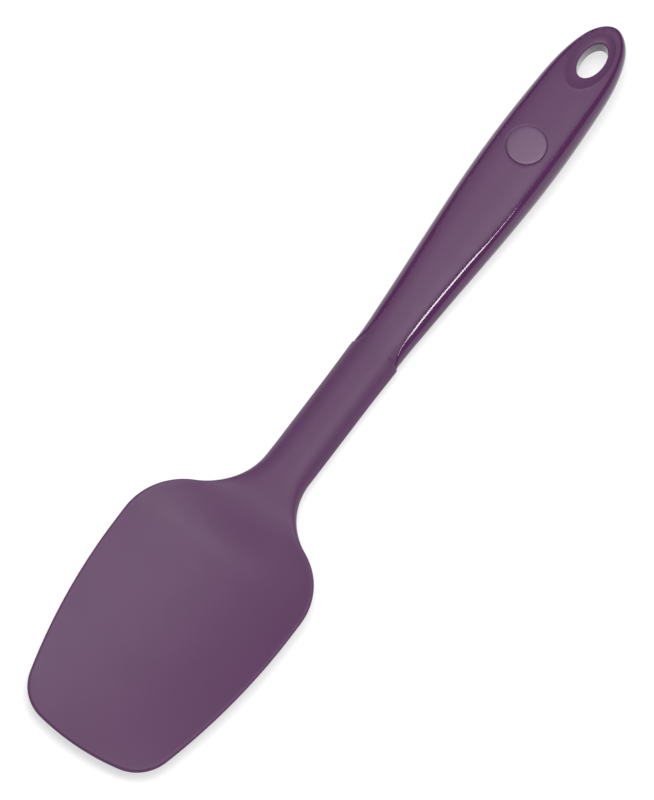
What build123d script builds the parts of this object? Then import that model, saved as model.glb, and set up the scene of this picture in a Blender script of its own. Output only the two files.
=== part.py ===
from build123d import *
import math
import os

# Silicone spatula with a shallow scooped blade, lying on its back, front face up.
# Millimetres. X runs from the blade's tip to the hanging hole, Y across, Z up.
# The origin is under the middle of the length, on the plane the spatula rests on.

# Overall
overall_length = 282.5
overrun = 4.0
side_spare = 0.7
end_spare = 2.0

# Blade, seen from the front
blade_width = 65.4
widest_from_tip = 66.0
widest_stretch = 4.5
tip_radius = 77.0
side_radius = 207.5
corner_radius = 13.9
shoulder_radius = 21.7
shoulder_hollow_radius = 22.0

# Blade, seen from the side
tip_top_height = 6.0
tip_edge_thickness = 1.7
bowl_floor_height = 4.3
rim_height = 7.8
rim_thickness = 1.8
rim_round = 0.6
bowl_front_length = 60.0
heel_start = 74.0
heel_length = 24.0
belly_start = 58.0

# Neck and the sleeve's end
neck_width = 16.3
neck_thickness = 8.6
neck_crown = 2.8
sleeve_end = 155.5
sleeve_end_width = 16.7
sleeve_chamfer = 0.9

# Handle
handle_start_width = 15.75
handle_width = 23.6
handle_start_thickness = 8.2
handle_thickness = 12.2
handle_lift = 5.7
handle_front_crown = 1.6
handle_back_crown = 2.4
handle_front_fall = 2.2
handle_back_fall = 2.8
handle_nose_length = 25.0
handle_edge_round = 0.8

# Front panel of the handle, one piece with the head
panel_thickness = 2.0
panel_inset = 2.5
panel_root_inset = 0.5
panel_gap = 0.12

# Hanging hole with its dished surround
hole_length = 13.0
hole_width = 7.6
hole_from_end = 13.4
hole_front_round = 0.4
hole_back_round = 0.9
dish_edge_round = 0.3
dish_mouth_share = 1.4
dish_depth = 1.1
dish_margin_side = 2.4
dish_margin_front = 4.2
dish_margin_end = 2.6

# Plain disc let into the front panel
disc_diameter = 12.5
disc_from_end = 48.0
disc_stands_out = 0.4
disc_let_in = 0.9
disc_gap = 0.05
disc_round = 0.2

# Steel bar inside the neck and the handle
bar_width = 8.0
bar_thickness = 3.0
bar_height = 4.0
bar_start = 105.0
bar_from_end = 32.5
bar_corner = 0.8

# Nylon insert inside the blade, moulded on the bar's front end
insert_half_width = 13.0
insert_thickness = 1.4
insert_cover = 1.45
insert_start = 34.0
insert_shoulder = 78.0
insert_waist = 96.0
insert_waist_width = 10.0
insert_corner = 5.0
socket_width = 11.0
socket_thickness = 5.2
socket_start = 101.0
socket_end = 120.0
socket_corner = 1.0
anchor_hole_diameter = 4.5
anchor_hole_pitch_x = 14.0
anchor_hole_pitch_y = 11.0
anchor_holes_from_tip = 46.0
anchor_rows = 3
anchor_columns = 2

# Flat land under the belly and the neck
rest_land_depth = 0.12

# Places worked out from the sizes above
tip_x = -overall_length / 2
end_x = overall_length / 2
half_blade = blade_width / 2
half_neck = neck_width / 2
half_handle = handle_width / 2
handle_length = overall_length - sleeve_end

# Handle outline and thickness at places along the handle, as shares of its sizes
handle_widest_share = 0.62
handle_place_shares = (0.0, 0.1, 0.2, 0.4, 0.62, 0.78, 0.877, 0.93, 0.975)
handle_width_shares = (0.0, 0.13, 0.333, 0.765, 1.0, 0.84, 0.544, 0.112, -0.64)
handle_section_shares = (0.0, 0.04, 0.12, 0.25, 0.42, 0.63, 0.8, 0.9, 1.0)
handle_thickness_shares = (0.0, 0.05, 0.2, 0.45, 0.75, 1.0, 0.66, 0.2, -0.2)
handle_lift_shares = (0.0, 0.015, 0.1, 0.25, 0.4, 0.6, 0.79, 0.895, 1.0)
form_step_share = 0.009
form_half_columns = 8
form_across_shares = [number / form_half_columns
                      for number in range(-form_half_columns, form_half_columns + 1)]
edge_limit_share = 0.3
form_tolerance = 0.01
bar_place_shares = (0.0, 0.15, 0.35, 0.6, 0.8, 1.0)
panel_edge_shares = (0.03, 0.07, 0.13, 0.21, 0.3, 0.42, 0.6, 0.75, 0.86, 0.94, 1.0)
panel_inset_shares = (0.85, 1.12, 1.33, 1.33, 1.15, 0.97, 1.0, 0.95, 0.75, 0.6, 0.56)


def ease(value, start, length):
    """A smooth step from 0 before start to 1 after start + length."""
    t = min(max((value - start) / length, 0.0), 1.0)
    return t * t * (3 - 2 * t)


def between(low, high, share):
    return low + (high - low) * share


def circles_meet(centre_a, radius_a, centre_b, radius_b, side):
    """The meeting point of two circles, to the left (1) or right (-1) of a to b."""
    dx = centre_b[0] - centre_a[0]
    dy = centre_b[1] - centre_a[1]
    gap = math.hypot(dx, dy)
    along = (radius_a**2 - radius_b**2 + gap**2) / (2 * gap)
    across = math.sqrt(radius_a**2 - along**2) * side
    x = centre_a[0] + (along * dx - across * dy) / gap
    y = centre_a[1] + (along * dy + across * dx) / gap
    return (x, y)


def toward(centre, point, radius):
    """The point at radius from centre, on the ray through point."""
    gap = math.hypot(point[0] - centre[0], point[1] - centre[1])
    x = centre[0] + (point[0] - centre[0]) * radius / gap
    y = centre[1] + (point[1] - centre[1]) * radius / gap
    return (x, y)


def on_circle(centre, radius, start, end):
    """The middle of the short arc from start to end."""
    middle = ((start[0] + end[0]) / 2, (start[1] + end[1]) / 2)
    return toward(centre, middle, radius)


def head_edge():
    """The blade's and neck's left edge from the tip's middle to the sleeve's end."""
    tip_centre = (tip_x + tip_radius, 0)
    widest_x = tip_x + widest_from_tip
    side_centre = (widest_x, half_blade - side_radius)
    corner_centre = circles_meet(
        tip_centre, tip_radius - corner_radius, side_centre, side_radius - corner_radius, -1)
    tip_to_corner = toward(tip_centre, corner_centre, tip_radius)
    corner_to_side = toward(side_centre, corner_centre, side_radius)
    shoulder_x = widest_x + widest_stretch
    shoulder_centre = (shoulder_x, half_blade - shoulder_radius)
    hollow_y = half_neck + shoulder_hollow_radius
    radii = shoulder_radius + shoulder_hollow_radius
    hollow_x = shoulder_x + math.sqrt(radii**2 - (hollow_y - shoulder_centre[1])**2)
    hollow_centre = (hollow_x, hollow_y)
    shoulder_to_hollow = toward(shoulder_centre, hollow_centre, shoulder_radius)
    tip = (tip_x, 0)
    widest_start = (widest_x, half_blade)
    widest_end = (shoulder_x, half_blade)
    neck_start = (hollow_x, half_neck)
    sleeve_x = tip_x + sleeve_end
    half_sleeve = sleeve_end_width / 2
    chamfer_start = (sleeve_x - sleeve_chamfer, half_sleeve)
    chamfer_end = (sleeve_x, handle_start_width / 2)
    corner_middle = on_circle(corner_centre, corner_radius, tip_to_corner, corner_to_side)
    return [
        ThreePointArc(tip, on_circle(tip_centre, tip_radius, tip, tip_to_corner), tip_to_corner),
        ThreePointArc(tip_to_corner, corner_middle, corner_to_side),
        ThreePointArc(corner_to_side,
                      on_circle(side_centre, side_radius, corner_to_side, widest_start),
                      widest_start),
        Line(widest_start, widest_end),
        ThreePointArc(widest_end,
                      on_circle(shoulder_centre, shoulder_radius, widest_end, shoulder_to_hollow),
                      shoulder_to_hollow),
        ThreePointArc(shoulder_to_hollow,
                      on_circle(hollow_centre, shoulder_hollow_radius, shoulder_to_hollow,
                                neck_start),
                      neck_start),
        Line(neck_start, chamfer_start),
        Line(chamfer_start, chamfer_end),
        Line(chamfer_end, (sleeve_x, 0)),
    ]


def full_height():
    """More than the height of the whole spatula."""
    return neck_thickness + handle_lift + handle_thickness


def tall_prism(edges):
    """A tall prism on the outline made of edges and their mirror images across y = 0."""
    outline = Wire(edges + [edge.mirror(Plane.XZ) for edge in edges])
    base = Pos(0, 0, -overrun) * Face(outline)
    return extrude(base, full_height() + 2 * overrun, dir=(0, 0, 1)).solid()


def half_width_at(from_tip):
    """Half of the head's width that far from the tip, with the tip taken as square."""
    widest_x = widest_from_tip
    if from_tip < widest_x:
        return half_blade - side_radius + math.sqrt(side_radius**2 - (widest_x - from_tip)**2)
    past = from_tip - widest_x - widest_stretch
    if past < 0:
        return half_blade
    hollow_y = half_neck + shoulder_hollow_radius
    radii = shoulder_radius + shoulder_hollow_radius
    hollow_past = math.sqrt(radii**2 - (hollow_y - half_blade + shoulder_radius)**2)
    if past < hollow_past * shoulder_radius / radii:
        return half_blade - shoulder_radius + math.sqrt(shoulder_radius**2 - past**2)
    if past < hollow_past:
        return hollow_y - math.sqrt(shoulder_hollow_radius**2 - (hollow_past - past)**2)
    return half_neck


def table_value(place, places, values):
    """A smooth curve through values at places, read at place."""
    last = len(places) - 1
    index = 0
    while index < last - 1 and places[index + 1] <= place:
        index += 1

    def slope(k):
        low = max(k - 1, 0)
        high = min(k + 1, last)
        return (values[high] - values[low]) / (places[high] - places[low])

    step = places[index + 1] - places[index]
    t = (place - places[index]) / step
    rise = values[index + 1] - values[index]
    start_slope = slope(index) * step
    end_slope = slope(index + 1) * step
    return (values[index] + start_slope * t
            + (3 * rise - 2 * start_slope - end_slope) * t**2
            + (start_slope + end_slope - 2 * rise) * t**3)


def head_heights(from_tip):
    """Top and bottom heights at the middle, and the top's and bottom's rise to the edge."""
    bowl = 1 - max(1 - from_tip / bowl_front_length, 0)**2
    neck = ease(from_tip, heel_start, heel_length)
    floor = between(tip_top_height, bowl_floor_height, bowl)
    top = between(floor, neck_thickness, neck)
    rim = between(between(tip_top_height, rim_height, bowl), neck_thickness - neck_crown, neck)
    edge_neck = neck_thickness - 2 * neck_crown
    edge = between(between(tip_edge_thickness, rim_thickness, bowl), edge_neck, neck)
    tip_bottom = tip_top_height - tip_edge_thickness
    bottom = tip_bottom * max(1 - from_tip / belly_start, 0)**2 - rest_land_depth
    return top, bottom, rim - top, rim - edge - bottom


def handle_heights(place):
    """The same four heights at a place along the handle, as a share of its length."""
    thick = table_value(place, handle_section_shares, handle_thickness_shares)
    thickness = between(handle_start_thickness, handle_thickness, thick)
    middle = handle_middle(place)
    crowned = ease(place, 0, handle_widest_share)
    front_crown = between(neck_crown, handle_front_crown, crowned)
    back_crown = between(neck_crown, handle_back_crown, crowned)
    return middle + thickness / 2, middle - thickness / 2, -front_crown, back_crown


def handle_middle(place):
    """Height of the handle's middle line at a share of its length."""
    start = neck_thickness - handle_start_thickness / 2
    return start + handle_lift * table_value(place, handle_section_shares, handle_lift_shares)


def form_section(from_tip, on_handle):
    """Half width, and the heights, of the bowed form that far from the tip."""
    if not on_handle:
        return half_width_at(from_tip), head_heights(from_tip)
    place = (from_tip - sleeve_end) / handle_length
    widening = ease(place, 0, handle_widest_share)
    return between(half_neck, half_handle, widening), handle_heights(place)


def edge_drop(from_tip, across_share):
    """How far the handle's rounded edge has fallen away there, as a share of its full fall."""
    start = ease(from_tip, sleeve_end, handle_length * handle_widest_share / 2)
    past = max(from_tip - overall_length + handle_nose_length, 0) / handle_nose_length
    fall = (across_share**2 + past**2)**4
    return start * fall * (1 + edge_limit_share) / (1 + edge_limit_share * fall)


def bowed_surface(start, stop, upper, handle_from):
    """The form's upper or lower surface from start to stop, wider than the outline."""
    rows = []
    count = round((stop - start) / (overall_length * form_step_share))
    for row in range(count + 1):
        from_tip = between(start, stop, row / count)
        half_width, heights = form_section(from_tip, from_tip > handle_from)
        middle_height = heights[0] if upper else heights[1]
        rise = heights[2] if upper else heights[3]
        edge_fall = -handle_front_fall if upper else handle_back_fall
        reach = half_width + side_spare
        points = []
        for share in form_across_shares:
            across = reach * share / half_width
            height = middle_height + rise * across**2
            if from_tip > handle_from:
                height += edge_fall * edge_drop(from_tip, across)
            points.append((tip_x + from_tip, reach * share, height))
        rows.append(points)
    return Face.make_surface_from_array_of_points(rows, form_tolerance, smoothing=(1, 1, 1),
                                                  max_deg=5)


def under_surface(surface):
    """The space below a surface."""
    return extrude(surface, full_height(), dir=(0, 0, -1)).solid()


def over_surface(surface):
    """The space above a surface."""
    return extrude(surface, full_height(), dir=(0, 0, 1)).solid()


def handle_edge():
    """The handle's left edge from the sleeve's end to the middle of the rounded end."""
    start_x = tip_x + sleeve_end
    half_start = handle_start_width / 2
    points = [(between(start_x, end_x, place), between(half_start, half_handle, share))
              for place, share in zip(handle_place_shares, handle_width_shares)]
    return Spline(points + [(end_x, 0)], tangents=[(1, 0), (0, -1)], tangent_scalars=[1, 1])


def panel_prism(outer, gap):
    """A tall prism on the outline of the front panel's seat, made smaller by gap."""
    start_x = tip_x + sleeve_end
    points = [(start_x, handle_start_width / 2 - panel_root_inset - gap)]
    for share, inset_share in zip(panel_edge_shares, panel_inset_shares):
        place = outer @ share
        across = (outer % share).rotate(Axis.Z, -90)
        points.append(place + across * (panel_inset * inset_share + gap))
    edge = Spline(points)
    return tall_prism([Line((start_x, 0), edge @ 0), edge])


def oval_prism(x, half_length, half_width):
    """A tall oval prism with its axis at x."""
    oval = Pos(x, 0, -overrun) * Ellipse(half_length, half_width)
    return extrude(oval, full_height() + 2 * overrun, dir=(0, 0, 1)).solid()


def dish_cutter(front_height):
    """A tapering oval plug: the hole's size at the dish's floor, wider at the front face."""
    hole_x = end_x - hole_from_end
    half_length = (hole_length + dish_margin_front + dish_margin_end) / 2
    shift = (dish_margin_end - dish_margin_front) / 2
    floor = Pos(hole_x, 0, front_height - dish_depth) * Ellipse(hole_length / 2, hole_width / 2)
    mouth_length = between(hole_length / 2, half_length, dish_mouth_share)
    mouth_width = between(hole_width / 2, hole_width / 2 + dish_margin_side, dish_mouth_share)
    mouth_height = front_height + dish_depth * (dish_mouth_share - 1)
    mouth = Pos(hole_x + shift * dish_mouth_share, 0, mouth_height) * Ellipse(mouth_length,
                                                                            mouth_width)
    return loft([floor, mouth]).solid()


def bar_profile(shift):
    """The bar's upper or lower line along the neck and up the handle."""
    drop = bar_height - handle_middle(0)
    points = [(tip_x + bar_start, 0, bar_height + shift),
              (tip_x + (bar_start + sleeve_end) / 2, 0, bar_height + shift)]
    bar_in_handle = handle_length - bar_from_end
    for share in bar_place_shares:
        place = share * bar_in_handle / handle_length
        x = between(tip_x + sleeve_end, end_x, place)
        points.append((x, 0, handle_middle(place) + drop + shift))
    return Spline(points)


def steel_bar():
    upper = bar_profile(bar_thickness / 2)
    lower = bar_profile(-bar_thickness / 2)
    side = Face(Wire([upper, Line(upper @ 1, lower @ 1), lower, Line(lower @ 0, upper @ 0)]))
    bar = extrude(Pos(0, -bar_width / 2, 0) * side, bar_width, dir=(0, 1, 0)).solid()
    return bar.fillet(bar_corner, bar.edges().filter_by(Axis.Z))


def blade_insert(front, bar):
    """A holed sheet following the blade's front, ending in a socket round the bar."""
    start_x = tip_x + insert_start
    waist_x = tip_x + insert_waist
    end_of_sheet_x = tip_x + bar_start
    half_waist = insert_waist_width / 2
    corners = [(start_x, insert_half_width), (tip_x + insert_shoulder, insert_half_width),
               (waist_x, half_waist), (end_of_sheet_x, half_waist)]
    outline = Polyline([(start_x, 0)] + corners + [(end_of_sheet_x, 0)])
    sheet = tall_prism(outline.edges())
    rounded = sheet.edges().filter_by(Axis.Z).filter_by(lambda e: e.center().X < waist_x + overrun / 2)
    sheet = sheet.fillet(insert_corner, rounded)
    sheet = (sheet & below(front, insert_cover)) - below(front, insert_cover + insert_thickness)
    middle_x = tip_x + (socket_start + socket_end) / 2
    socket = Pos(middle_x, 0, bar_height) * Box(socket_end - socket_start, socket_width,
                                                socket_thickness)
    socket = fillet(socket.edges().filter_by(Axis.X), socket_corner)
    insert = sheet.solid() + socket
    for column in range(anchor_rows):
        for row in range(anchor_columns):
            x = tip_x + anchor_holes_from_tip + column * anchor_hole_pitch_x
            y = (row - (anchor_columns - 1) / 2) * anchor_hole_pitch_y
            hole = Cylinder(anchor_hole_diameter / 2, full_height() * 2)
            insert -= Pos(x, y, 0) * hole
    return (insert - bar).solid()


def below(front, depth):
    """The space more than depth below the front surface."""
    return front.moved(Pos(0, 0, -depth))


def rims_at(solid, x):
    """The closed edges round the upright axis at x, from the lowest to the highest."""
    rims = [edge for edge in solid.edges()
            if edge.length > hole_length * 2
            and abs(edge.center(CenterOf.BOUNDING_BOX).X - x) < hole_length / 4]
    return sorted(rims, key=lambda edge: edge.center(CenterOf.BOUNDING_BOX).Z)


# The two blanks, between the front surface and the back surfaces
sleeve_x = tip_x + sleeve_end
front = under_surface(bowed_surface(-end_spare, overall_length + end_spare, True, sleeve_end))
head_back = bowed_surface(-end_spare, sleeve_end + end_spare, False, overall_length)
handle_back = bowed_surface(sleeve_end - end_spare, overall_length + end_spare, False, 0)

blade = ((tall_prism(head_edge()) & front) & over_surface(head_back)).solid()
rim = [edge for edge in blade.edges()
       if edge.geom_type != GeomType.LINE and edge.center().X < sleeve_x - sleeve_chamfer]
blade = blade.fillet(rim_round, rim)
ground = Pos(0, 0, -overall_length / 2) * Box(overall_length * 2, overall_length, overall_length)
blade = (blade - ground).solid()

outer = handle_edge()
start_line = Line((sleeve_x, 0), (sleeve_x, handle_start_width / 2))
handle = ((tall_prism([start_line, outer]) & front) & over_surface(handle_back)).solid()
side_edges = [edge for edge in handle.edges()
              if edge.geom_type != GeomType.LINE and edge.center().X > sleeve_x + overrun]
handle = handle.fillet(handle_edge_round, side_edges)

# The panel and its seat in the handle's front
under_panel = below(front, panel_thickness)
panel = ((panel_prism(outer, panel_gap) & front) - under_panel).solid()
shell = (handle - (panel_prism(outer, 0) - under_panel)).solid()

# The hanging hole through both, dished at the front
hole_x = end_x - hole_from_end
hole = oval_prism(hole_x, hole_length / 2, hole_width / 2)
hole_place = (handle_length - hole_from_end) / handle_length
panel = (panel - hole - dish_cutter(handle_heights(hole_place)[0])).solid()
panel = panel.fillet(dish_edge_round, rims_at(panel, hole_x)[-1:])
panel = panel.fillet(hole_front_round, rims_at(panel, hole_x)[1:2])
shell = (shell - hole).solid()
shell = shell.fillet(hole_back_round, rims_at(shell, hole_x)[:1])

# The disc and its recess
disc_x = end_x - disc_from_end
under_disc = below(front, disc_let_in)
recess_radius = disc_diameter / 2 + disc_gap
disc = oval_prism(disc_x, disc_diameter / 2, disc_diameter / 2)
disc = ((disc & below(front, -disc_stands_out)) - under_disc).solid()
circles = [edge for edge in disc.edges() if edge.length > disc_diameter]
disc = disc.fillet(disc_round, [max(circles, key=lambda edge: edge.center().Z)])
panel = (panel - (oval_prism(disc_x, recess_radius, recess_radius) - under_disc)).solid()

# The pieces inside, and the room they take
bar = steel_bar()
insert = blade_insert(front, bar)
head = ((blade + panel) - insert - bar).solid()
shell = (shell - bar).solid()

os.makedirs("parts", exist_ok=True)
nodes = {"silicone_head": head, "handle_shell": shell, "core_bar": bar,
         "blade_insert": insert, "front_disc": disc}
for name, solid in nodes.items():
    export_step(solid, "parts/" + name + ".step")
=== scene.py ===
import math

import bmesh
import bpy
import numpy as np
from mathutils import Matrix, Vector, geometry


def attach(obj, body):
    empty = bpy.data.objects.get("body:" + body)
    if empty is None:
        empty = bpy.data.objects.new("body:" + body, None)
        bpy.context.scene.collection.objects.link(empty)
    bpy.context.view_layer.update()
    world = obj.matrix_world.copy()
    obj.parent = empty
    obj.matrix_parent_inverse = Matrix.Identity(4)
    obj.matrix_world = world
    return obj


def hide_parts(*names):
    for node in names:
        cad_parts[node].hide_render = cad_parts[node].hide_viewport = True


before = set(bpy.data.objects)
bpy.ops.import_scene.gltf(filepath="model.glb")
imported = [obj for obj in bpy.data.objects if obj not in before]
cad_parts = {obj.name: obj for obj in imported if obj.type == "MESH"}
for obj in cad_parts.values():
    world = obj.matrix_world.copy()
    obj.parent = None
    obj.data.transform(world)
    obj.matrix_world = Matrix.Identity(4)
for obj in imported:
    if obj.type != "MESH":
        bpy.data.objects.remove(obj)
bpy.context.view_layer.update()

# Sizes are in millimetres, as in the part's source: x from the blade's tip, y across, z up
MM = 0.001
LENGTH = 282.5
HALF_LENGTH = LENGTH / 2

# The blade, seen from the front
BLADE_HALF = 32.7
WIDEST = 66.0  # where the sides reach their greatest width
STRETCH = 4.5  # straight part of the sides behind that
TIP_R = 77.0
SIDE_R = 207.5
CORNER_R = 13.9
SHOULDER_R = 21.7
HOLLOW_R = 22.0  # from the shoulder into the neck

# The blade, seen from the side
TIP_TOP = 6.0  # height of the front at the tip
TIP_EDGE = 1.7  # thickness of the edge there
FLOOR_Z = 4.3  # height of the bowl's floor
RIM_Z = 7.8  # height of the bowl's rim
RIM_T = 1.8  # thickness of the rim
BOWL_FRONT = 60.0  # from here on the bowl has its full depth
BELLY_START = 58.0  # from here on the middle of the back lies on the worktop
BLADE_ROUND = 0.9  # width of the edge's round

# The neck: the floor rises to it, then the sides fall to its crown and its edges get rounder
NECK_HALF = 8.15
NECK_T = 8.6
NECK_CROWN = 2.8
NECK_ROUND = 3.4
HEEL_START, HEEL_LENGTH = 74.0, 24.0
SIDE_FALL_START, SIDE_FALL_LENGTH = 92.0, 26.0
ROUNDING_START, ROUNDING_LENGTH = 90.0, 28.0
STRAIGHT_NECK = 111.0  # from here on the edge is drawn in straight across
CROWN_KEPT = 0.1  # share of the crown's fall that the neck's flatter front has in its middle

# The sleeve, where the head's surface ends and the handle begins
SLEEVE = 155.5
SLEEVE_HALF = 8.35
SLEEVE_CHAMFER = 0.9
FLARE_LENGTH = 14.0
START_HALF = 7.875
START_T = 8.2

# The handle
HANDLE_LENGTH = LENGTH - SLEEVE
HANDLE_HALF = 11.8
HANDLE_T = 12.2
LIFT = 5.7  # rise of the handle's middle from the sleeve to the end
FRONT_CROWN = 1.6
BACK_CROWN = 2.4
CROWN_GROWTH = 0.62  # share of the length over which the crowns change from the neck's
BACK_ROUND_START, BACK_ROUND_FULL, BACK_ROUND_END = NECK_ROUND, 5.0, 3.2
BACK_GROWTH = 0.3  # share of the length over which the back's round grows
BACK_NOSE_START, BACK_NOSE_LENGTH = LENGTH - 40.0, 22.0
EDGE_SHARE_START, EDGE_SHARE_FULL = 0.5, 0.42  # height of the edge line, as a share of thickness

# The handle's shares at places along it, 0 at the sleeve and 1 at the end: half width,
# thickness and lift, each from its value at the sleeve to its full value
WIDTH_PLACES = (0.0, 0.1, 0.2, 0.4, 0.62, 0.78, 0.877, 0.93, 0.975)
WIDTH_SHARES = (0.0, 0.13, 0.333, 0.765, 1.0, 0.84, 0.544, 0.112, -0.64)
SECTION_PLACES = (0.0, 0.04, 0.12, 0.25, 0.42, 0.63, 0.8, 0.9, 1.0)
THICK_SHARES = (0.0, 0.05, 0.2, 0.45, 0.75, 1.0, 0.66, 0.2, -0.2)
LIFT_SHARES = (0.0, 0.015, 0.1, 0.25, 0.4, 0.6, 0.79, 0.895, 1.0)

# The front panel, and the crease where it is let in: how far the crease lies in from the
# handle's edge at places in millimetres past the sleeve
PANEL_T = 2.0
PANEL_GAP = 0.03
PANEL_ROUND = 0.15
SEAT_GAP = 0.02
SEAT_MARGIN = 1.5  # how far the seat's line at the sleeve's end keeps from its edges
INSET_PLACES = (0.0, 2.0, 5.0, 9.0, 16.0, 22.0, 30.0, 40.0, 55.0, 80.0, 100.0, 113.0, 120.0, 127.0)
INSETS = (0.6, 1.5, 2.3, 2.85, 3.3, 3.4, 3.4, 3.3, 3.0, 3.0, 2.5, 1.95, 1.6, 1.4)

# The front's round, as a share of the crease's inset. The panel follows it
ROUND_SHARE_START, ROUND_SHARE_END = 0.72, 1.25
ROUND_GROWTH_START, ROUND_GROWTH_LENGTH = SLEEVE + 45.0, 30.0
ROUND_ROOT = 12.0  # length over which the round changes from the neck's

# The flat bevel on the handle's body beside the crease, and the fine lip at the crease
BEVEL_WIDE, BEVEL_NARROW = 0.9, 0.3
BEVEL_STEEP, BEVEL_FLAT = 0.52, 0.36
BEVEL_FADE_START, BEVEL_FADE_LENGTH = SLEEVE + 38.0, 26.0
BEVEL_START, BEVEL_START_LENGTH = SLEEVE + 2.0, 12.0
BEVEL_FIRST_SHARE = 0.15
BEVEL_LIMIT = 0.35  # most of the inset that the bevel may take
LIP_WIDTH = 0.12
LIP_FALL = 0.1
LIP_LIMIT = 0.2  # most of the inset that the lip may take

# The hanging hole in its dish. The steps at the mouth are a share of the dish's width and a
# fall, those at the hole's edge a distance out from the hole and a fall below the dish
HOLE_A, HOLE_B, HOLE_X = 6.5, 3.8, LENGTH - 13.4
HOLE_BACK_ROUND = 0.9
DISH_DEPTH = 1.1
DISH_SIDE, DISH_FRONT, DISH_END = 2.4, 4.7, 2.9
DISH_MOUTH = ((1.07, 0.0), (1.04, -0.03), (1.01, -0.02), (0.98, 0.04), (0.95, 0.13))
DISH_SHARES = (0.8, 0.6, 0.4, 0.25, 0.14)
HOLE_EDGE = ((0.2, 0.02), (0.1, 0.09), (0.03, 0.2), (0.0, 0.4))

# The disc in the panel, and the groove round it: distance out from the disc and fall
DISC_R, DISC_X = 6.25, LENGTH - 48.0
DISC_UP = 0.4  # how far the disc stands above the panel
DISC_IN = 0.9  # how deep its seat is
DISC_ROUND = 0.28
DISC_GAP = 0.03
DISC_UNDER = 0.02  # gap under the disc
DISC_GROOVE = ((0.16, 0.0), (0.09, 0.03), (0.05, 0.08), (DISC_GAP, 0.16), (DISC_GAP, DISC_IN))

# Fineness of the meshes: spacing along outlines, points on ovals, and steps of round edges
STATION_MARGIN, STATION_STEP = 4.0, 0.25
HEAD_SPACING, HANDLE_SPACING, CHAMFER_SPACING = 1.0, 0.5, 0.3
HOLE_POINTS, DISC_POINTS, LINE_POINTS = 96, 72, 12
HEAD_STEPS, PANEL_STEPS, LIP_STEPS, BACK_STEPS, HOLE_STEPS, DISC_STEPS = 9, 4, 5, 12, 6, 5
SHELL_SHARES = (0.0, 0.01, 0.035, 0.075, 0.13, 0.2, 0.29, 0.4, 0.52, 0.65, 0.75, 0.85)
CAP_SHARES = (0.85, 0.68, 0.5, 0.32, 0.15)
SHARP_ANGLE = 38.0
TINY = 1e-6

# Grid that fills a surface: its spacing, and how far it keeps from the edges
HEAD_GRID = (1.3, 0.6)
PANEL_GRID = (1.0, 0.45)
BACK_GRID = (1.2, 0.6)
HIDDEN_GRID = (2.0, 0.8)


# Shared curves

def ease(value, start, length):
    """A smooth rise from 0 at start to 1 at start + length."""
    t = min(max((value - start) / length, 0.0), 1.0)
    return t * t * (3 - 2 * t)


def eased(values, start, length):
    return np.array([ease(value, start, length) for value in values])


def between(low, high, share):
    return low + (high - low) * share


def table_value(place, places, values):
    """A smooth curve through the values at the places."""
    last = len(places) - 1
    index = 0
    while index < last - 1 and places[index + 1] <= place:
        index += 1

    def slope(k):
        low, high = max(k - 1, 0), min(k + 1, last)
        return (values[high] - values[low]) / (places[high] - places[low])

    step = places[index + 1] - places[index]
    t = (place - places[index]) / step
    rise = values[index + 1] - values[index]
    a, b = slope(index) * step, slope(index + 1) * step
    return values[index] + a * t + (3 * rise - 2 * a - b) * t * t + (a + b - 2 * rise) * t ** 3


def half_width_at(x):
    """Half width of the blade and neck, leaving out the tip, the corners and the flare."""
    if x < WIDEST:
        return BLADE_HALF - SIDE_R + math.sqrt(SIDE_R ** 2 - (WIDEST - x) ** 2)
    past = x - WIDEST - STRETCH
    if past < 0:
        return BLADE_HALF
    hollow_y = NECK_HALF + HOLLOW_R
    radii = SHOULDER_R + HOLLOW_R
    hollow_past = math.sqrt(radii ** 2 - (hollow_y - BLADE_HALF + SHOULDER_R) ** 2)
    if past < hollow_past * SHOULDER_R / radii:
        return BLADE_HALF - SHOULDER_R + math.sqrt(SHOULDER_R ** 2 - past ** 2)
    if past < hollow_past:
        return hollow_y - math.sqrt(HOLLOW_R ** 2 - (hollow_past - past) ** 2)
    return NECK_HALF


# A section holds the top and bottom heights at the middle, what each rises to the edge, the
# half width, and how flat the front's middle is

def head_section(x):
    bowl = 1 - max(1 - x / BOWL_FRONT, 0) ** 2
    neck = ease(x, HEEL_START, HEEL_LENGTH)
    top = between(between(TIP_TOP, FLOOR_Z, bowl), NECK_T, neck)
    rim = between(between(TIP_TOP, RIM_Z, bowl), NECK_T - NECK_CROWN, neck)
    edge = between(between(TIP_EDGE, RIM_T, bowl), NECK_T - 2 * NECK_CROWN, neck)
    bottom = (TIP_TOP - TIP_EDGE) * max(1 - x / BELLY_START, 0) ** 2
    late = NECK_CROWN * (neck - ease(x, SIDE_FALL_START, SIDE_FALL_LENGTH))
    return top, bottom, rim + late - top, rim - edge - bottom, half_width_at(x), neck


def handle_section(x):
    place = max((x - SLEEVE) / HANDLE_LENGTH, 0)
    thick = between(START_T, HANDLE_T, table_value(place, SECTION_PLACES, THICK_SHARES))
    crowned = ease(place, 0, CROWN_GROWTH)
    middle = NECK_T - START_T / 2 + LIFT * table_value(place, SECTION_PLACES, LIFT_SHARES)
    return (middle + thick / 2, middle - thick / 2, -between(NECK_CROWN, FRONT_CROWN, crowned),
            between(NECK_CROWN, BACK_CROWN, crowned), between(NECK_HALF, HANDLE_HALF, crowned), 1.0)


STATIONS = np.arange(-STATION_MARGIN, LENGTH + STATION_MARGIN, STATION_STEP)
HEAD = np.array([head_section(x) for x in STATIONS])
HANDLE = np.array([handle_section(x) for x in STATIONS])


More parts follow.
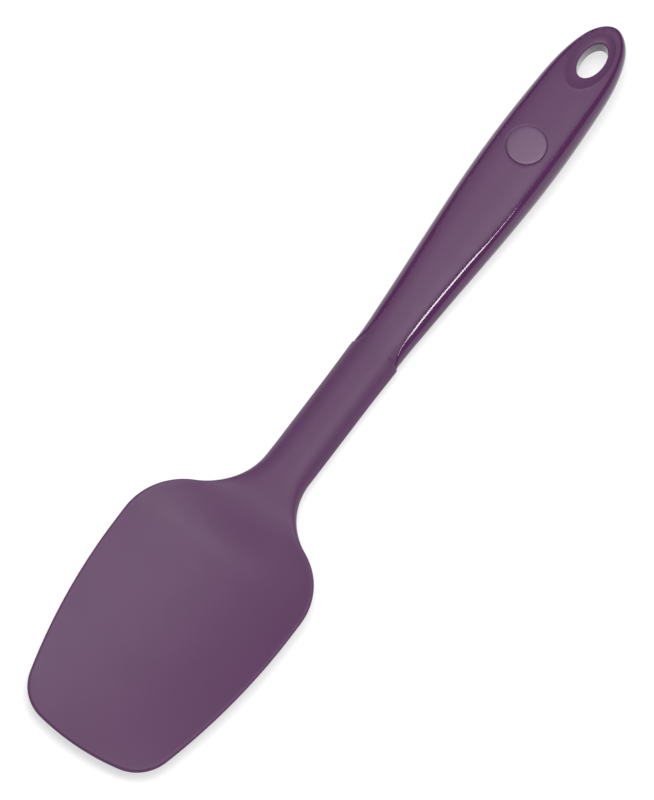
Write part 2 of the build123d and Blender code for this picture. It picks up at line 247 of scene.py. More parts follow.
def crown(points, table, upper):
    """Height of the crowned upper or lower surface over points, without its rounded edges."""
    x, y = points[:, 0], points[:, 1]
    column = 0 if upper else 1
    middle = np.interp(x, STATIONS, table[:, column])
    rise = np.interp(x, STATIONS, table[:, column + 2])
    out = (y / np.interp(x, STATIONS, table[:, 4])) ** 2
    if upper:
        flat = np.interp(x, STATIONS, table[:, 5])
        out = out * between(1, between(CROWN_KEPT, 1, out), flat)
    return middle + rise * out


# Outlines, seen from the front

def circles_meet(ca, ra, cb, rb, side):
    """One of the two points where two circles cross."""
    dx, dy = cb[0] - ca[0], cb[1] - ca[1]
    gap = math.hypot(dx, dy)
    along = (ra ** 2 - rb ** 2 + gap ** 2) / (2 * gap)
    across = math.sqrt(ra ** 2 - along ** 2) * side
    return (ca[0] + (along * dx - across * dy) / gap, ca[1] + (along * dy + across * dx) / gap)


def toward(centre, point, radius):
    """The point at this radius from the centre, on the ray through another point."""
    gap = math.hypot(point[0] - centre[0], point[1] - centre[1])
    return (centre[0] + (point[0] - centre[0]) * radius / gap,
            centre[1] + (point[1] - centre[1]) * radius / gap)


def arc(centre, start, end, spacing):
    """Points on the short arc round centre from start to end, without the end."""
    a = math.atan2(start[1] - centre[1], start[0] - centre[0])
    b = math.atan2(end[1] - centre[1], end[0] - centre[0])
    turn = (b - a + math.pi) % (2 * math.pi) - math.pi
    radius = math.hypot(start[0] - centre[0], start[1] - centre[1])
    count = max(2, math.ceil(abs(turn) * radius / spacing))
    return [(centre[0] + radius * math.cos(a + turn * k / count),
             centre[1] + radius * math.sin(a + turn * k / count)) for k in range(count)]


def line(start, end, spacing):
    """Points on the line from start to end, without the end."""
    count = max(1, math.ceil(math.hypot(end[0] - start[0], end[1] - start[1]) / spacing))
    return [(between(start[0], end[0], k / count), between(start[1], end[1], k / count))
            for k in range(count)]


def head_outline(spacing):
    """The left half of the blade's and neck's outline, from the tip to the sleeve's end."""
    tip_c = (TIP_R, 0)
    side_c = (WIDEST, BLADE_HALF - SIDE_R)
    corner_c = circles_meet(tip_c, TIP_R - CORNER_R, side_c, SIDE_R - CORNER_R, -1)
    to_corner = toward(tip_c, corner_c, TIP_R)
    to_side = toward(side_c, corner_c, SIDE_R)
    shoulder_x = WIDEST + STRETCH
    shoulder_c = (shoulder_x, BLADE_HALF - SHOULDER_R)
    hollow_y = NECK_HALF + HOLLOW_R
    radii = SHOULDER_R + HOLLOW_R
    hollow_c = (shoulder_x + math.sqrt(radii ** 2 - (hollow_y - shoulder_c[1]) ** 2), hollow_y)
    to_hollow = toward(shoulder_c, hollow_c, SHOULDER_R)
    neck = (hollow_c[0], NECK_HALF)
    flare = (SLEEVE - FLARE_LENGTH, NECK_HALF)
    chamfer = (SLEEVE - SLEEVE_CHAMFER, SLEEVE_HALF)
    points = arc(tip_c, (0, 0), to_corner, spacing)
    points += arc(corner_c, to_corner, to_side, spacing)
    points += arc(side_c, to_side, (WIDEST, BLADE_HALF), spacing)
    points += line((WIDEST, BLADE_HALF), (shoulder_x, BLADE_HALF), spacing)
    points += arc(shoulder_c, (shoulder_x, BLADE_HALF), to_hollow, spacing)
    points += arc(hollow_c, to_hollow, neck, spacing)
    points += line(neck, flare, spacing)
    points += line(flare, chamfer, spacing)
    points += line(chamfer, (SLEEVE, START_HALF), CHAMFER_SPACING)
    return points + [(SLEEVE, START_HALF)]


def smooth_curve(points, start_slope, end_slope, spacing):
    """A twice-smooth cubic curve through points, with the given end directions."""
    points = np.array(points, float)
    steps = np.hypot(*np.diff(points, axis=0).T)
    knots = np.concatenate([[0], np.cumsum(steps)])
    count = len(points)
    matrix = np.zeros((count, count))
    right = np.zeros((count, 2))
    matrix[0, 0] = matrix[-1, -1] = 1
    right[0], right[-1] = start_slope, end_slope
    for k in range(1, count - 1):
        a, b = steps[k - 1], steps[k]
        matrix[k, k - 1:k + 2] = (b, 2 * (a + b), a)
        right[k] = 3 * (b * (points[k] - points[k - 1]) / a + a * (points[k + 1] - points[k]) / b)
    slopes = np.linalg.solve(matrix, right)
    samples = np.linspace(0, knots[-1], math.ceil(knots[-1] / spacing) + 1)
    where = np.clip(np.searchsorted(knots, samples, side="right") - 1, 0, count - 2)
    step = steps[where][:, None]
    t = ((samples - knots[where]) / steps[where])[:, None]
    p, q, m, n = points[where], points[where + 1], slopes[where] * step, slopes[where + 1] * step
    rise = q - p
    return p + m * t + (3 * rise - 2 * m - n) * t ** 2 + (m + n - 2 * rise) * t ** 3


def handle_outline(spacing):
    """The left half of the handle's outline, from the sleeve's end to the rounded end."""
    points = [(SLEEVE + HANDLE_LENGTH * place, between(START_HALF, HANDLE_HALF, share))
              for place, share in zip(WIDTH_PLACES, WIDTH_SHARES)]
    return smooth_curve(points + [(LENGTH, 0)], (1, 0), (0, -1), spacing)


def mirrored(half):
    """A whole chain from a left half that starts or ends on the middle line."""
    half = np.array(half, float)
    other = half * (1, -1)
    if abs(half[0][1]) < TINY:
        return np.concatenate([half[::-1], other[1:]])
    return np.concatenate([half, other[::-1][1:]])


def inward(chain):
    """Unit normals of a chain that point to the side it encloses."""
    tangent = np.gradient(chain, axis=0)
    tangent /= np.hypot(*tangent.T)[:, None]
    normal = np.stack([-tangent[:, 1], tangent[:, 0]], axis=1)
    middle = len(chain) // 2
    if np.dot(normal[middle], chain.mean(axis=0) - chain[middle]) < 0:
        normal = -normal
    return normal


def distance_to(points, chain):
    """Distance from each point to a chain, and the place on the chain as a fractional index."""
    starts, ends = chain[:-1], chain[1:]
    along = ends - starts
    size = (along ** 2).sum(axis=1)
    best = np.zeros(len(points))
    place = np.zeros(len(points))
    batch = 400  # points at a time, to keep the arrays small
    for first in range(0, len(points), batch):
        some = points[first:first + batch]
        t = ((some[:, None] - starts[None]) * along[None]).sum(axis=2) / size
        t = np.clip(t, 0, 1)
        near = starts[None] + along[None] * t[..., None]
        gaps = np.hypot(*np.moveaxis(some[:, None] - near, 2, 0))
        pick = gaps.argmin(axis=1)
        rows = np.arange(len(some))
        best[first:first + batch] = gaps[rows, pick]
        place[first:first + batch] = pick + t[rows, pick]
    return best, place


# Mesh building

class Builder:
    """Gathers vertices and faces in millimetres and makes one mesh object of them."""

    def __init__(self):
        self.points = []
        self.faces = []

    def add(self, flat, heights):
        """Adds points from a flat N by 2 array and heights, and returns their indices."""
        first = len(self.points)
        for (x, y), z in zip(flat, heights):
            self.points.append((x, y, z))
        return list(range(first, len(self.points)))

    def strip(self, low, high, closed=False):
        """Quads between two rows of indices."""
        count = len(low)
        for k in range(count if closed else count - 1):
            j = (k + 1) % count
            self.faces.append((low[k], low[j], high[j], high[k]))

    def rings(self, row, loops):
        """Closed strips from a row on over loops, each with its heights. Returns the last row."""
        for flat, heights in loops:
            following = self.add(flat, heights)
            self.strip(row, following, closed=True)
            row = following
        return row

    def patch(self, indices, triangles):
        """Triangles whose corners count through a list of indices."""
        self.faces += [tuple(indices[v] for v in triangle) for triangle in triangles]

    def end_face(self, upper_rows, upper_line, lower_rows, lower_line):
        """One face across the sleeve's end, through the ends of the rows and both lines."""
        face = [row[0] for row in upper_rows] + upper_line[::-1]
        face += [row[-1] for row in upper_rows[::-1]]
        face += [row[-1] for row in lower_rows[1:]] + lower_line
        face += [row[0] for row in lower_rows[:0:-1]]
        self.faces.append(tuple(face))

    def make(self, name, material):
        """The object, cleaned of doubled points, with its origin at the frame's."""
        mesh = bpy.data.meshes.new(name)
        shift = np.array([HALF_LENGTH, 0, 0])
        verts = (np.array(self.points) - shift) * MM
        mesh.from_pydata([tuple(v) for v in verts], [], self.faces)
        mesh.validate()
        bm = bmesh.new()
        bm.from_mesh(mesh)
        bmesh.ops.remove_doubles(bm, verts=bm.verts, dist=1e-7)
        bmesh.ops.dissolve_degenerate(bm, edges=bm.edges, dist=1e-8)
        bmesh.ops.recalc_face_normals(bm, faces=bm.faces)
        bm.to_mesh(mesh)
        bm.free()
        mesh.shade_smooth()
        mesh.set_sharp_from_angle(angle=math.radians(SHARP_ANGLE))
        mesh.materials.append(material)
        piece = bpy.data.objects.new(name, mesh)
        bpy.context.scene.collection.objects.link(piece)
        return piece


def inside(points, loop):
    """Which points lie inside a closed loop."""
    x, y = points[:, 0][:, None], points[:, 1][:, None]
    ax, ay = loop[:, 0], loop[:, 1]
    bx, by = np.roll(ax, -1), np.roll(ay, -1)
    crosses = (ay > y) != (by > y)
    slope = np.where(by == ay, 1, by - ay)
    hits = crosses & (x < (bx - ax) * (y - ay) / slope + ax)
    return hits.sum(axis=1) % 2 == 1


def inside_loops(points, loops):
    """Which points lie inside the first loop and outside the others."""
    keep = inside(points, loops[0])
    for loop in loops[1:]:
        keep &= ~inside(points, loop)
    return keep


def grid_inside(loops, spacing, clearance):
    """Points of a triangular grid inside the loops that keep clear of them."""
    low, high = loops[0].min(axis=0), loops[0].max(axis=0)
    rise = spacing * math.sqrt(3) / 2
    rows = []
    for number, y in enumerate(np.arange(low[1] + rise / 2, high[1], rise)):
        shift = spacing / 2 if number % 2 else 0
        xs = np.arange(low[0] + shift, high[0], spacing)
        rows.append(np.stack([xs, np.full(len(xs), y)], axis=1))
    grid = np.concatenate(rows)
    grid = grid[inside_loops(grid, loops)]
    for loop in loops:
        gap, _ = distance_to(grid, np.concatenate([loop, loop[:1]]))
        grid = grid[gap > clearance]
    return grid


def fill(loops, spacing, clearance):
    """Triangulates the region inside the first loop and outside the others.

    Returns the grid points that were added and triangles, indexed with the loops' points
    first, in order, and the grid points after them."""
    grid = grid_inside(loops, spacing, clearance)
    points = [Vector(p) for loop in loops for p in loop] + [Vector(p) for p in grid]
    edges = []
    first = 0
    for loop in loops:
        count = len(loop)
        edges += [(first + k, first + (k + 1) % count) for k in range(count)]
        first += count
    result = geometry.delaunay_2d_cdt(points, edges, [], 0, TINY)
    faces, origins = result[2], result[3]
    triangles = [tuple(origins[v][0] for v in face) for face in faces]
    flat = np.array([tuple(p) for p in points])
    centres = np.array([flat[list(triangle)].mean(axis=0) for triangle in triangles])
    keep = inside_loops(centres, loops)
    return grid, [triangle for triangle, kept in zip(triangles, keep) if kept]


def round_share(count):
    """Steps of a quarter round from an edge inward: share of the way in, and of the fall."""
    turns = [math.pi / 2 * k / count for k in range(count + 1)]
    return [(1 - math.cos(t), 1 - math.sin(t)) for t in turns]


def edge_fall(share):
    """Fall of a quarter round at a share of its width in from the edge."""
    out = 1 - np.clip(share, 0, 1)
    return 1 - np.sqrt(np.clip(1 - out ** 2, 0, 1))


def oval(centre_x, a, b, count=HOLE_POINTS):
    turn = np.arange(count) * 2 * math.pi / count
    return np.stack([centre_x + a * np.cos(turn), b * np.sin(turn)], axis=1)


def disc_oval(radius):
    return oval(DISC_X, radius, radius, DISC_POINTS)


def sleeve_line(ends):
    """Points across the sleeve's end, at the given places."""
    return np.stack([np.full(len(ends), SLEEVE), ends], axis=1)


def rounded_line():
    """Points across the sleeve's end, between the rounded edges."""
    reach = START_HALF - NECK_ROUND
    return sleeve_line(np.linspace(-reach, reach, LINE_POINTS + 2)[1:-1])


# The handle's rounded front and back

HANDLE_CHAIN = mirrored(handle_outline(HANDLE_SPACING))
HANDLE_X = HANDLE_CHAIN[:, 0]
HANDLE_IN = inward(HANDLE_CHAIN)
HANDLE_IN[0] = (0, -1)
HANDLE_IN[-1] = (0, 1)

INSET = np.array([table_value(x - SLEEVE, INSET_PLACES, INSETS) for x in HANDLE_X])
ROUND_SHARE = between(ROUND_SHARE_START, ROUND_SHARE_END,
                      eased(HANDLE_X, ROUND_GROWTH_START, ROUND_GROWTH_LENGTH))
FRONT_ROUND = between(NECK_ROUND, INSET * ROUND_SHARE, eased(HANDLE_X, SLEEVE, ROUND_ROOT))
GROWN = eased(HANDLE_X, SLEEVE, HANDLE_LENGTH * BACK_GROWTH)
BACK_ROUND = between(between(BACK_ROUND_START, BACK_ROUND_FULL, GROWN), BACK_ROUND_END,
                     eased(HANDLE_X, BACK_NOSE_START, BACK_NOSE_LENGTH))
EDGE_TOP = crown(HANDLE_CHAIN, HANDLE, True)
EDGE_BOTTOM = crown(HANDLE_CHAIN, HANDLE, False)
EDGE_MIDDLE = between(EDGE_BOTTOM, EDGE_TOP, between(EDGE_SHARE_START, EDGE_SHARE_FULL, GROWN))


def handle_inset(width):
    """The handle's outline drawn in by a width of its own at each point."""
    return HANDLE_CHAIN + HANDLE_IN * width[:, None]


def round_fall(points, widths, falls):
    """Fall of the handle's round edge over points, from its width and fall along the outline."""
    gap, place = distance_to(points, HANDLE_CHAIN)
    index = np.arange(len(HANDLE_CHAIN))
    width = np.interp(place, index, widths)
    fall = np.interp(place, index, falls)
    return fall * edge_fall(gap / width)


def handle_front(points):
    return crown(points, HANDLE, True) - round_fall(points, FRONT_ROUND, EDGE_TOP - EDGE_MIDDLE)


def handle_back(points):
    return crown(points, HANDLE, False) + round_fall(points, BACK_ROUND, EDGE_MIDDLE - EDGE_BOTTOM)


def seat_height(points):
    """Height of the seat in the handle's body, under the panel."""
    return handle_front(points) - PANEL_T - SEAT_GAP


# The head

def make_head(material):
    """Blade and neck as one closed form."""
    build = Builder()
    chain = mirrored(head_outline(HEAD_SPACING))
    normal = inward(chain)
    on_neck = chain[:, 0] > STRAIGHT_NECK
    normal[on_neck] = np.stack([np.zeros(on_neck.sum()), -np.sign(chain[on_neck, 1])], axis=1)
    grown = eased(chain[:, 0], ROUNDING_START, ROUNDING_LENGTH)
    width = between(BLADE_ROUND, NECK_ROUND, grown)
    top, bottom = crown(chain, HEAD, True), crown(chain, HEAD, False)
    middle = (top + bottom) / 2
    top_rows, bottom_rows = [], []
    for share_in, share_fall in round_share(HEAD_STEPS):
        flat = chain + normal * (width * share_in)[:, None]
        upper = crown(flat, HEAD, True) - (top - middle) * share_fall
        lower = np.maximum(crown(flat, HEAD, False) + (middle - bottom) * share_fall, 0)
        top_rows.append(build.add(flat, upper))
        bottom_rows.append(build.add(flat, lower) if bottom_rows else top_rows[0])
        if len(top_rows) > 1:
            build.strip(top_rows[-2], top_rows[-1])
            build.strip(bottom_rows[-1], bottom_rows[-2])
    end_line = rounded_line()
    grid, triangles = fill([np.concatenate([flat, end_line])], *HEAD_GRID)
    extra = np.concatenate([end_line, grid])
    top_extra = build.add(extra, crown(extra, HEAD, True))
    build.patch(top_rows[-1] + top_extra, triangles)
    bottom_extra = build.add(extra, np.maximum(crown(extra, HEAD, False), 0))
    build.patch(bottom_rows[-1] + bottom_extra, triangles)
    count = len(end_line)
    build.end_face(top_rows, top_extra[:count], bottom_rows, bottom_extra[:count])
    return build.make("head", material)


# The front panel

def dish_loops():
    """Loops from the dish's mouth inward and down the hole, each with its heights."""
    mouth_a = HOLE_A + (DISH_FRONT + DISH_END) / 2
    mouth_b = HOLE_B + DISH_SIDE
    shift = (DISH_END - DISH_FRONT) / 2
    mouth_share, mouth_fall = DISH_MOUTH[-1]
    steps = list(DISH_MOUTH)
    for share in DISH_SHARES:
        turn = (mouth_share - share) / mouth_share * math.pi / 2
        steps.append((share, mouth_fall + (DISH_DEPTH - mouth_fall) * math.sin(turn)))
    loops = []
    for share, fall in steps:
        flat = oval(HOLE_X + shift * share, between(HOLE_A, mouth_a, share),
                    between(HOLE_B, mouth_b, share))
        loops.append((flat, handle_front(flat) - fall))
    hole = oval(HOLE_X, HOLE_A, HOLE_B)
    dish_floor = handle_front(hole) - DISH_DEPTH
    for out, fall in HOLE_EDGE:
        loops.append((oval(HOLE_X, HOLE_A + out, HOLE_B + out), dish_floor - fall))
    loops.append((hole, handle_front(hole) - PANEL_T))
    return loops


def groove_loops():
    """Loops of the groove round the disc and of the disc's seat, each with its heights."""
    loops = []
    for out, fall in DISC_GROOVE:
        flat = disc_oval(DISC_R + out)
        loops.append((flat, handle_front(flat) - fall))
    return loops


def add_cap(build, rim, radius, height):
    """Closes a round rim of indices about the disc's middle with rings that shrink to it."""
    loops = []
    for share in CAP_SHARES:
        flat = disc_oval(radius * share)
        loops.append((flat, height(flat)))
    last = build.rings(rim, loops)
    centre = np.array([[DISC_X, 0.0]])
    middle = build.add(centre, height(centre))[0]
    count = len(rim)
    for k in range(count):
        build.faces.append((last[k], last[(k + 1) % count], middle))


def make_panel(material):
    """The front panel that runs on from the neck, with the dish, the hole and the disc's seat."""
    build = Builder()
    outline = handle_inset(INSET + PANEL_GAP)
    rows = [build.add(outline, handle_front(outline) - PANEL_T)]
    for share_in, share_fall in round_share(PANEL_STEPS):
        flat = outline + HANDLE_IN * (PANEL_ROUND * share_in)
        rows.append(build.add(flat, handle_front(flat) - PANEL_ROUND * share_fall))
        build.strip(rows[-2], rows[-1])
    end_line = rounded_line()
    dish, groove = dish_loops(), groove_loops()
    loop = np.concatenate([flat, end_line])
    grid, triangles = fill([loop, dish[0][0], groove[0][0]], *PANEL_GRID)
    mouth_row = build.add(*dish[0])
    groove_row = build.add(*groove[0])
    line_row = build.add(end_line, handle_front(end_line))
    grid_row = build.add(grid, handle_front(grid))
    build.patch(rows[-1] + line_row + mouth_row + groove_row + grid_row, triangles)
    hole_row = build.rings(mouth_row, dish[1:])
    seat_row = build.rings(groove_row, groove[1:])
    add_cap(build, seat_row, DISC_R + DISC_GAP, lambda points: handle_front(points) - DISC_IN)
    under_line = build.add(end_line, handle_front(end_line) - PANEL_T)
    loop = np.concatenate([outline, end_line])
    grid, triangles = fill([loop, dish[-1][0]], *HIDDEN_GRID)
    grid_row = build.add(grid, handle_front(grid) - PANEL_T)
    build.patch(rows[0] + under_line + hole_row + grid_row, triangles)
    build.end_face(rows, line_row, [], under_line)
    return build.make("front_panel", material)


# The handle's body

def crease_bevel():
    """Width and slope of the flat bevel beside the crease, along the outline."""
    fade = eased(HANDLE_X, BEVEL_FADE_START, BEVEL_FADE_LENGTH)
    begun = eased(HANDLE_X, BEVEL_START, BEVEL_START_LENGTH)
    width = between(BEVEL_WIDE, BEVEL_NARROW, fade) * between(BEVEL_FIRST_SHARE, 1, begun)
    return np.minimum(width, INSET * BEVEL_LIMIT), between(BEVEL_STEEP, BEVEL_FLAT, fade)


def shell_front(build):
    """Rows from the edge in to the crease's lip, and a last one down at the seat's edge."""
    lip = np.minimum(LIP_WIDTH, INSET * LIP_LIMIT)
    seat_edge = handle_inset(INSET)
    crease = handle_front(seat_edge)
    bevel, slope = crease_bevel()

    def height(out):
        """Height of the front at a distance out from the crease: a bevel, then a round."""
        past = np.clip((out - bevel) / (INSET - bevel), 0, 1)
        rest = crease - slope * INSET - EDGE_MIDDLE
        return crease - slope * out - rest * (1 - np.sqrt(1 - past ** 2))

    rows = []
    for share in SHELL_SHARES:
        rows.append(build.add(handle_inset(INSET * share), height(INSET * (1 - share))))
    for share_in, share_fall in round_share(LIP_STEPS)[::-1]:
        fall = LIP_FALL * share_fall * lip / LIP_WIDTH
        flat = handle_inset(INSET - lip * share_in)
        rows.append(build.add(flat, height(lip * share_in) - fall))
    rows.append(build.add(seat_edge, seat_height(seat_edge)))
    for low, high in zip(rows, rows[1:]):
        build.strip(low, high)
    return rows


def shell_seat(build, edge_row):
    """The seat under the panel. Returns its rows at the sleeve's end and round the hole."""
    hole = oval(HOLE_X, HOLE_A, HOLE_B)
    reach = START_HALF - SEAT_MARGIN
    end_line = sleeve_line(np.linspace(-reach, reach, LINE_POINTS))
    loop = np.concatenate([handle_inset(INSET), end_line])
    grid, triangles = fill([loop, hole], *HIDDEN_GRID)
    line_row = build.add(end_line, seat_height(end_line))
    hole_row = build.add(hole, seat_height(hole))
    grid_row = build.add(grid, seat_height(grid))
    build.patch(edge_row + line_row + hole_row + grid_row, triangles)
    return line_row, hole_row


def shell_back(build, edge_row):
    """The rounded back. Returns its rows, its line at the sleeve's end and the hole's rim."""
    rows = [edge_row]
    for share_in, share_fall in round_share(BACK_STEPS)[1:]:
        flat = handle_inset(BACK_ROUND * share_in)
        heights = crown(flat, HANDLE, False) + (EDGE_MIDDLE - EDGE_BOTTOM) * share_fall
        rows.append(build.add(flat, heights))
    for low, high in zip(rows, rows[1:]):
        build.strip(high, low)
    rim = []
    for share_in, share_fall in round_share(HOLE_STEPS)[::-1]:
        out = HOLE_BACK_ROUND * share_in
        flat = oval(HOLE_X, HOLE_A + out, HOLE_B + out)
        rim.append((flat, handle_back(flat) + HOLE_BACK_ROUND * share_fall))
    end_line = rounded_line()
    loop = np.concatenate([handle_inset(BACK_ROUND), end_line])
    grid, triangles = fill([loop, rim[0][0]], *BACK_GRID)
    line_row = build.add(end_line, handle_back(end_line))
    rim_row = build.add(*rim[0])
    grid_row = build.add(grid, handle_back(grid))
    build.patch(rows[-1] + line_row + rim_row + grid_row, triangles)
    return rows, line_row, build.rings(rim_row, rim[1:])


def make_shell(material):
    """The handle's body: rounded sides and back, with the panel's seat in its front."""
    build = Builder()
    front_rows = shell_front(build)
    seat_line, hole_row = shell_seat(build, front_rows[-1])
    back_rows, back_line, rim_row = shell_back(build, front_rows[0])
    build.strip(rim_row, hole_row, closed=True)
    build.end_face(front_rows, seat_line, back_rows, back_line)
    return build.make("handle_body", material)


# The disc

def disc_top(points):
    return handle_front(points) + DISC_UP


def disc_under(points):
    return handle_front(points) - DISC_IN + DISC_UNDER


def make_disc(material):
    """The plain disc: it follows the panel's crown, with a small round at its edge."""
    build = Builder()
    edge = disc_oval(DISC_R)
    bottom = build.add(edge, disc_under(edge))
    loops = []
    for share_in, share_fall in round_share(DISC_STEPS):
        flat = disc_oval(DISC_R - DISC_ROUND * share_in)
        loops.append((flat, disc_top(flat) - DISC_ROUND * share_fall))
    top = build.rings(bottom, loops)
    add_cap(build, top, DISC_R - DISC_ROUND, disc_top)
    add_cap(build, bottom, DISC_R, disc_under)
    return build.make("disc_plate", material)


# Materials

def srgb(r, g, b):
    """A colour as the shader takes it, from the usual 0 to 255 values."""
    def one(c):
        c /= 255
        return c / 12.92 if c <= 0.04045 else ((c + 0.055) / 1.055) ** 2.4
    return (one(r), one(g), one(b), 1.0)


def new_material(name):
    material = bpy.data.materials.new(name)
    material.use_nodes = True
    nodes, links = material.node_tree.nodes, material.node_tree.links
    return material, nodes, links, nodes["Principled BSDF"]


def noise(nodes, links, coord, scale, detail):
    """A noise texture fixed to the object."""
    texture = nodes.new("ShaderNodeTexNoise")
    texture.inputs["Scale"].default_value = scale
    texture.inputs["Detail"].default_value = detail
    links.new(coord.outputs["Object"], texture.inputs["Vector"])
    return texture


def moulded(name, dark, light, roughness, swing, grain, grain_scale):
    """A material with slight mottling in colour and gloss, and a fine grain."""
    material, nodes, links, shader = new_material(name)
    coord = nodes.new("ShaderNodeTexCoord")
    mottle = noise(nodes, links, coord, scale=38.0, detail=3.0)
    ramp = nodes.new("ShaderNodeValToRGB")
    low, high = ramp.color_ramp.elements
    low.position, low.color = 0.3, dark
    high.position, high.color = 0.7, light
    links.new(mottle.outputs["Fac"], ramp.inputs["Fac"])
    links.new(ramp.outputs["Color"], shader.inputs["Base Color"])
    smear = noise(nodes, links, coord, scale=160.0, detail=4.0)
    gloss = nodes.new("ShaderNodeMapRange")
    gloss.inputs["To Min"].default_value = roughness - swing
    gloss.inputs["To Max"].default_value = roughness + swing
    links.new(smear.outputs["Fac"], gloss.inputs["Value"])
    links.new(gloss.outputs["Result"], shader.inputs["Roughness"])
    fine = noise(nodes, links, coord, scale=grain_scale, detail=5.0)
    fine.inputs["Roughness"].default_value = 0.6
    bump = nodes.new("ShaderNodeBump")
    bump.inputs["Strength"].default_value = grain
    bump.inputs["Distance"].default_value = 0.00005
    links.new(fine.outputs["Fac"], bump.inputs["Height"])
    links.new(bump.outputs["Normal"], shader.inputs["Normal"])
    return material, shader


def make_silicone():
    """Soft and matte, for the head and the front panel."""
    material, shader = moulded("silicone", srgb(96, 60, 97), srgb(99, 63, 100),
                               roughness=0.43, swing=0.03, grain=0.25, grain_scale=2600.0)
    shader.inputs["Specular IOR Level"].default_value = 0.29
    return material


def make_handle_plastic():
    """Glossy, for the handle's body."""
    material, shader = moulded("handle_plastic", srgb(86, 43, 87), srgb(89, 46, 90),
                               roughness=0.08, swing=0.015, grain=0.02, grain_scale=900.0)
    shader.inputs["Specular IOR Level"].default_value = 0.5
    return material


def make_disc_plastic():
    material, _ = moulded("disc_plastic", srgb(104, 70, 105), srgb(107, 73, 108),
                          roughness=0.38, swing=0.03, grain=0.1, grain_scale=1400.0)
    return material


def make_steel():
    """For the stiffening bar, which nothing shows."""
    material, shader = moulded("steel", (0.5, 0.5, 0.49, 1), (0.62, 0.62, 0.6, 1),
                               roughness=0.32, swing=0.06, grain=0.3, grain_scale=1200.0)
    shader.inputs["Metallic"].default_value = 1.0
    return material


def make_nylon():
    """For the blade's insert, which nothing shows."""
    material, _ = moulded("nylon", (0.66, 0.63, 0.55, 1), (0.72, 0.69, 0.61, 1),
                          roughness=0.5, swing=0.05, grain=0.2, grain_scale=1200.0)
    return material


# Light, floor and camera

def any_ray(nodes, links, kinds):
    """A value that is 1 for rays of any of these kinds and 0 for the others."""
    path = nodes.new("ShaderNodeLightPath")
    found = path.outputs[kinds[0]]
    for kind in kinds[1:]:
        either = nodes.new("ShaderNodeMath")
        either.operation = "MAXIMUM"
        links.new(found, either.inputs[0])
        links.new(path.outputs[kind], either.inputs[1])
        found = either.outputs[0]
    return found


def background(nodes, strength=1.0):
    shader = nodes.new("ShaderNodeBackground")
    shader.inputs["Color"].default_value = (1, 1, 1, 1)
    shader.inputs["Strength"].default_value = strength
    return shader


def make_world():
    """An even fill light. Camera, gloss and transmission rays see white that fades upward."""
    world = bpy.data.worlds.new("studio")
    bpy.context.scene.world = world
    world.use_nodes = True
    nodes, links = world.node_tree.nodes, world.node_tree.links
    nodes.clear()
    output = nodes.new("ShaderNodeOutputWorld")
    even = background(nodes, strength=0.5)
    seen = background(nodes)
    coord = nodes.new("ShaderNodeTexCoord")
    split = nodes.new("ShaderNodeSeparateXYZ")
    links.new(coord.outputs["Generated"], split.inputs[0])
    height = nodes.new("ShaderNodeMapRange")
    height.inputs["From Min"].default_value = 0.02
    height.inputs["From Max"].default_value = 0.15
    height.inputs["To Min"].default_value = 1.0
    height.inputs["To Max"].default_value = 0.05
    links.new(split.outputs["Z"], height.inputs["Value"])
    links.new(height.outputs["Result"], seen.inputs["Strength"])
    mix = nodes.new("ShaderNodeMixShader")
    kinds = ("Is Camera Ray", "Is Transmission Ray", "Is Glossy Ray")
    links.new(any_ray(nodes, links, kinds), mix.inputs["Fac"])
    links.new(even.outputs[0], mix.inputs[1])
    links.new(seen.outputs[0], mix.inputs[2])
    links.new(mix.outputs[0], output.inputs["Surface"])


def make_floor_material():
    """Pale grey. Its glow is for camera, gloss and transmission rays, and lights nothing."""
    shade, glow_strength = 0.56, 0.56
    material, nodes, links, shader = new_material("pale_floor")
    shader.inputs["Base Color"].default_value = (shade, shade, shade, 1)
    shader.inputs["Roughness"].default_value = 0.9
    shader.inputs["Specular IOR Level"].default_value = 0.0
    glow = nodes.new("ShaderNodeEmission")
    glow.inputs["Color"].default_value = (1, 1, 1, 1)
    strength = nodes.new("ShaderNodeMath")
    strength.operation = "MULTIPLY"
    strength.inputs[1].default_value = glow_strength
    kinds = ("Is Camera Ray", "Is Glossy Ray", "Is Transmission Ray")
    links.new(any_ray(nodes, links, kinds), strength.inputs[0])
    links.new(strength.outputs[0], glow.inputs["Strength"])
    both = nodes.new("ShaderNodeAddShader")
    links.new(shader.outputs[0], both.inputs[0])
    links.new(glow.outputs[0], both.inputs[1])
    links.new(both.outputs[0], nodes["Material Output"].inputs["Surface"])
    return material


def make_floor():
    """A square of 12 m, a hair below the spatula."""
    half, below = 6.0, 0.0002
    mesh = bpy.data.meshes.new("floor")
    mesh.from_pydata([(-half, -half, 0), (half, -half, 0), (half, half, 0), (-half, half, 0)], [],
                     [(0, 1, 2, 3)])
    mesh.materials.append(make_floor_material())
    floor = bpy.data.objects.new("floor", mesh)
    floor.location = (0, 0, -below)
    bpy.context.scene.collection.objects.link(floor)


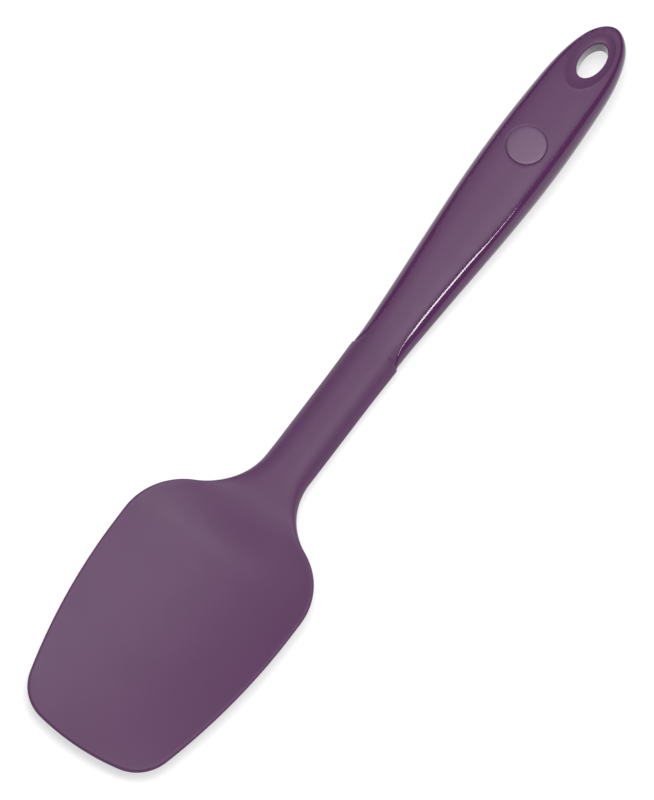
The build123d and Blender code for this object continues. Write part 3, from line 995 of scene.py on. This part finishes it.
def add_light(name, energy, size, place, target):
    """A rectangular lamp in metres and watts, turned to the target."""
    data = bpy.data.lights.new(name, "AREA")
    data.shape = "RECTANGLE"
    data.size, data.size_y = size
    data.energy = energy
    lamp = bpy.data.objects.new(name, data)
    lamp.location = place
    lamp.rotation_mode = "QUATERNION"
    lamp.rotation_quaternion = (Vector(target) - Vector(place)).to_track_quat("-Z", "Y")
    bpy.context.scene.collection.objects.link(lamp)


def make_lamps():
    """A broad soft lamp overhead, and a small strip that the bevel beside the crease mirrors."""
    add_light("key", energy=11.5, size=(0.75, 0.75), place=(0.12, -0.03, 1.5), target=(0, 0, 0))
    add_light("strip", energy=0.38, size=(0.14, 0.04), place=(0.1, -0.45, 0.5),
              target=(0.04, 0, 0))


def make_camera():
    """Long lens, so that the view is nearly parallel, as in the photograph."""
    right = Vector((0.58133, -0.81367, -0.00949)).normalized()
    up = Vector((0.76155, 0.54001, 0.35845)).normalized()
    back = right.cross(up).normalized()
    up = back.cross(right)
    aim = Vector((-7.480082, 2.680918, 8.0)) * MM  # from the frame's origin
    shown_height = 242.475677
    lens, sensor = 1000.0, 36
    data = bpy.data.cameras.new("camera")
    data.lens = lens
    data.sensor_width = sensor
    data.clip_start, data.clip_end = 0.05, 60
    camera = bpy.data.objects.new("camera", data)
    matrix = Matrix((right, up, back)).transposed().to_4x4()
    matrix.translation = aim + back * (shown_height / sensor * lens * MM)
    camera.matrix_world = matrix
    bpy.context.scene.collection.objects.link(camera)
    bpy.context.scene.camera = camera


def main():
    bpy.context.scene.view_settings.view_transform = "Standard"
    silicone = make_silicone()
    pieces = (
        ("silicone_head", make_head(silicone), "silicone"),
        ("silicone_head", make_panel(silicone), "silicone"),
        ("handle_shell", make_shell(make_handle_plastic()), "handle_plastic"),
        ("front_disc", make_disc(make_disc_plastic()), "disc_plastic"),
    )
    for node, piece, slot in pieces:
        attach(piece, "root")
        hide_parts(node)
    for node, material in (("core_bar", make_steel()), ("blade_insert", make_nylon())):
        for material_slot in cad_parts[node].material_slots:
            material_slot.material = material
    make_world()
    make_floor()
    make_lamps()
    make_camera()


main()
